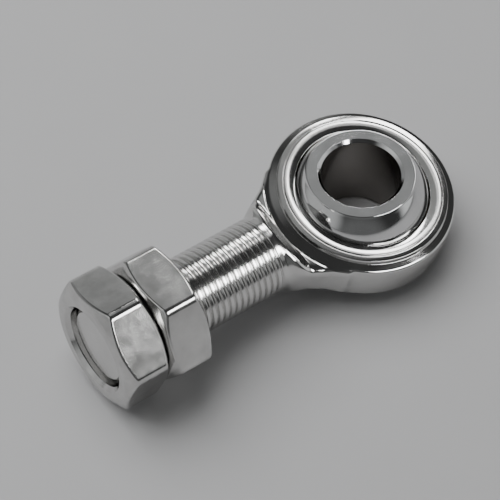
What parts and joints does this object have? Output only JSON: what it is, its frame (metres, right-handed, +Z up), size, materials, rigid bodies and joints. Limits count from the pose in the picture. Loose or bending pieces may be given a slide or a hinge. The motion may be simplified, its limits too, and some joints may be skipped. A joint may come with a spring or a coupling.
{
  "type": "rod end bearing",
  "caption": "Male-threaded rod end: a round head holds a swivelling ball with a through bore, and a threaded shank carries hexagonal jam nuts.",
  "frame": {"origin": "centre of the overall box, at the level the part stands on", "axes": "+Z up along the ball's bore, X along the plan of the shank with the head towards +X and the nuts towards -X, Y completes a right-handed frame"},
  "size_m": [0.0838, 0.0388, 0.0272],
  "materials": {
    "body_steel": "polished stainless steel",
    "race_steel": "polished stainless steel",
    "liner": "woven PTFE bearing liner, matt",
    "ball_steel": "hard bright ball surface",
    "nut_steel": "polished stainless steel"
  },
  "bodies": {
    "housing": {"rod_end_body": "body_steel", "race_insert": "race_steel"},
    "liner": {"liner": "liner"},
    "ball": {"ball": "ball_steel"},
    "inner_nut": {"jam_nut_inner": "nut_steel"},
    "outer_nut": {"jam_nut_outer": "nut_steel"}
  },
  "joints": [
    {"name": "liner_turn", "type": "hinge", "parent": "housing", "child": "liner", "pos_m": [0.02264, 0, 0.00953], "axis": [0.0697, -0.1265, 0.9895], "continuous": true},
    {"name": "ball_tilt", "type": "hinge", "parent": "liner", "child": "ball", "pos_m": [0.02264, 0, 0.00953], "axis": [-0.8759, -0.4825, 0], "range_deg": [-24.31, 7.69]},
    {"name": "inner_nut_travel", "type": "slide", "parent": "housing", "child": "inner_nut", "axis": [0.9975, 0, -0.0703], "range_m": [0, 0.0169]},
    {"name": "outer_nut_travel", "type": "slide", "parent": "housing", "child": "outer_nut", "axis": [0.9975, 0, -0.0703], "range_m": [-0.0056, 0]}
  ]
}
